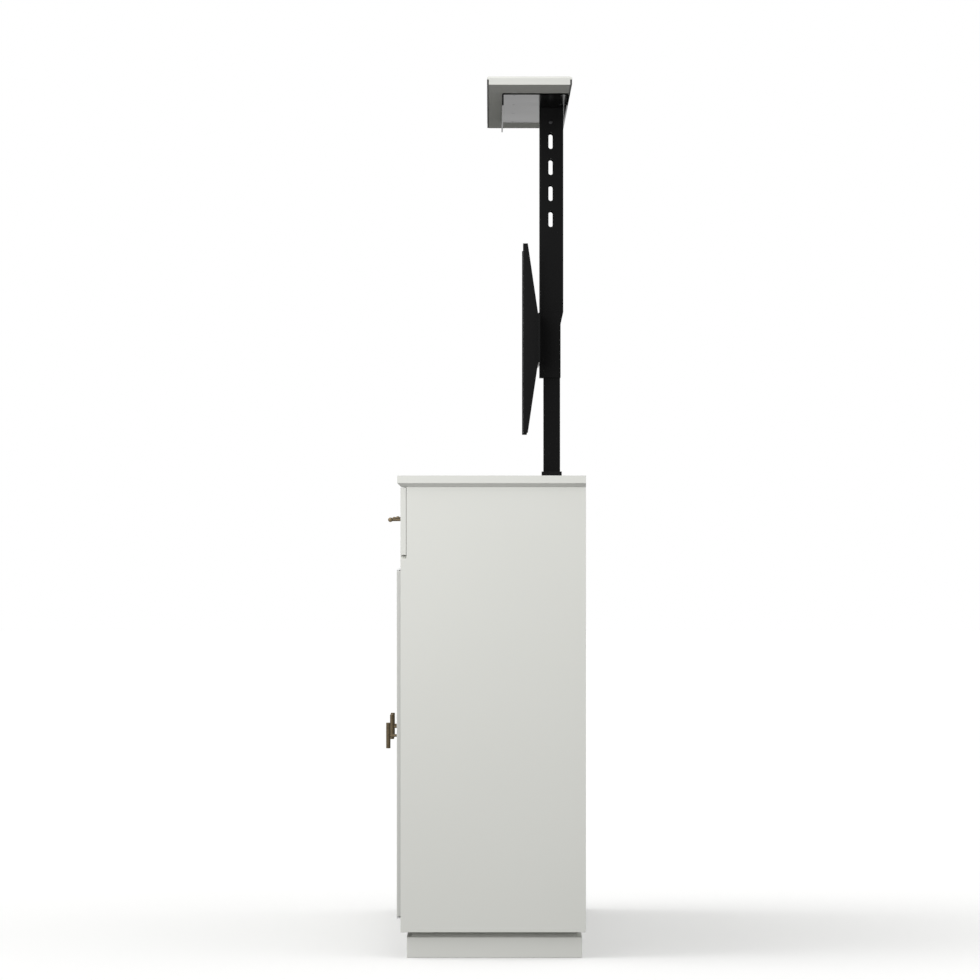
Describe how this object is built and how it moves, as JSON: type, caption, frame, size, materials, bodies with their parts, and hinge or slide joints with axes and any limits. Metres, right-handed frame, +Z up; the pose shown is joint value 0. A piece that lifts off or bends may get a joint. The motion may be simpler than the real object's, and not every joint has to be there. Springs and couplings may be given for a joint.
{
  "type": "tv lift cabinet",
  "caption": "Long white cabinet with doors and drawers; a telescopic screw column lifts a screen bracket and a flush lid out of the top.",
  "frame": {"origin": "on the floor, in the middle of the box around the whole cabinet, knobs included", "axes": "+Z up, +X to the right of someone who faces the doors, front with doors and drawers towards -Y"},
  "size_m": [1.524, 0.4284, 1.858],
  "materials": {
    "painted_board": "warm white satin paint on board",
    "bare_wood": "clear sealed light wood",
    "black_steel": "smooth black powder coat",
    "aged_brass": "aged satin",
    "zinc_steel": "zinc plated",
    "black_plastic": "moulded matte",
    "white_plastic": "low friction nylon"
  },
  "bodies": {
    "cabinet": {"top_panel": "painted_board", "side_panel_left": "painted_board", "side_panel_right": "painted_board", "bottom_panel": "painted_board", "back_panel": "painted_board", "divider_panel": "painted_board", "drawer_board": "painted_board", "bottom_rail": "painted_board", "partitions": "painted_board", "plinth_boards": "painted_board", "glides": "white_plastic", "shelves": "painted_board", "shelf_pins": "zinc_steel", "pivot_plates": "zinc_steel", "door_catches": "black_plastic", "drawer_runners": "bare_wood", "lift_base_plate": "black_steel", "base_bolts": "zinc_steel", "gearbox_housing": "black_plastic", "lift_motor": "black_steel", "outer_tube": "black_steel", "column_tie": "black_steel", "control_box": "black_plastic", "power_inlet": "black_plastic"},
    "door_left": {"door_left": "painted_board", "door_pivots_left": "zinc_steel", "door_knob_left": "aged_brass"},
    "door_centre": {"door_centre": "painted_board", "door_pivots_centre": "zinc_steel", "door_knob_centre": "aged_brass"},
    "door_right": {"door_right": "painted_board", "door_pivots_right": "zinc_steel", "door_knob_right": "aged_brass"},
    "drawer_left": {"drawer_front_left": "painted_board", "drawer_box_left": "bare_wood", "drawer_knob_left": "aged_brass"},
    "drawer_centre": {"drawer_front_centre": "painted_board", "drawer_box_centre": "bare_wood", "drawer_knob_centre": "aged_brass"},
    "drawer_right": {"drawer_front_right": "painted_board", "drawer_box_right": "bare_wood", "drawer_knob_right": "aged_brass"},
    "lift": {"lid": "painted_board", "lid_tray": "black_steel", "mast_channel": "black_steel", "mast_cheeks": "black_steel", "mast_head": "black_steel", "crossbar": "black_steel", "screen_arm_left": "black_steel", "screen_arm_right": "black_steel", "inner_tube": "black_steel", "inner_nut": "white_plastic", "tube_spacer": "black_steel", "lift_fasteners": "zinc_steel"},
    "middle_stage": {"middle_tube": "black_steel", "middle_collar": "black_plastic", "middle_nut": "white_plastic"},
    "drive_screw": {"drive_screw": "zinc_steel"},
    "hollow_screw": {"hollow_screw": "zinc_steel"},
    "motor_pinion": {"motor_pinion": "zinc_steel"}
  },
  "joints": [
    {"name": "door_left_swing", "type": "hinge", "parent": "cabinet", "child": "door_left", "pos_m": [-0.7243, -0.1801, 0.451], "axis": [0, 0, -1], "range_deg": [0, 110]},
    {"name": "door_centre_swing", "type": "hinge", "parent": "cabinet", "child": "door_centre", "pos_m": [0.22797, -0.1801, 0.451], "axis": [0, 0, 1], "range_deg": [0, 110]},
    {"name": "door_right_swing", "type": "hinge", "parent": "cabinet", "child": "door_right", "pos_m": [0.7243, -0.1801, 0.451], "axis": [0, 0, 1], "range_deg": [0, 110]},
    {"name": "drawer_left_slide", "type": "slide", "parent": "cabinet", "child": "drawer_left", "axis": [0, -1, 0], "range_m": [0, 0.11]},
    {"name": "drawer_centre_slide", "type": "slide", "parent": "cabinet", "child": "drawer_centre", "axis": [0, -1, 0], "range_m": [0, 0.11]},
    {"name": "drawer_right_slide", "type": "slide", "parent": "cabinet", "child": "drawer_right", "axis": [0, -1, 0], "range_m": [0, 0.11]},
    {"name": "lift_slide", "type": "slide", "parent": "cabinet", "child": "lift", "axis": [0, 0, 1], "range_m": [-0.842, 0]},
    {"name": "middle_slide", "type": "slide", "parent": "cabinet", "child": "middle_stage", "axis": [0, 0, 1], "range_m": [-0.421, 0]},
    {"name": "drive_screw_turn", "type": "hinge", "parent": "cabinet", "child": "drive_screw", "pos_m": [0, 0.14995, 0.078], "axis": [0, 0, 1], "range_deg": [0, 15156]},
    {"name": "hollow_screw_turn", "type": "hinge", "parent": "middle_stage", "child": "hollow_screw", "pos_m": [0, 0.14995, 0.542], "axis": [0, 0, 1], "range_deg": [0, 15156]},
    {"name": "motor_pinion_turn", "type": "hinge", "parent": "cabinet", "child": "motor_pinion", "pos_m": [0.06, 0.14995, 0.078], "axis": [0, 0, 1], "range_deg": [-21219, 0]}
  ],
  "couplings": [
    {"joint": "middle_slide", "follows": "lift_slide", "ratio": 0.5},
    {"joint": "drive_screw_turn", "follows": "lift_slide", "rad_per_m": -314.16},
    {"joint": "hollow_screw_turn", "follows": "lift_slide", "rad_per_m": -314.16},
    {"joint": "motor_pinion_turn", "follows": "lift_slide", "rad_per_m": 439.82}
  ]
}
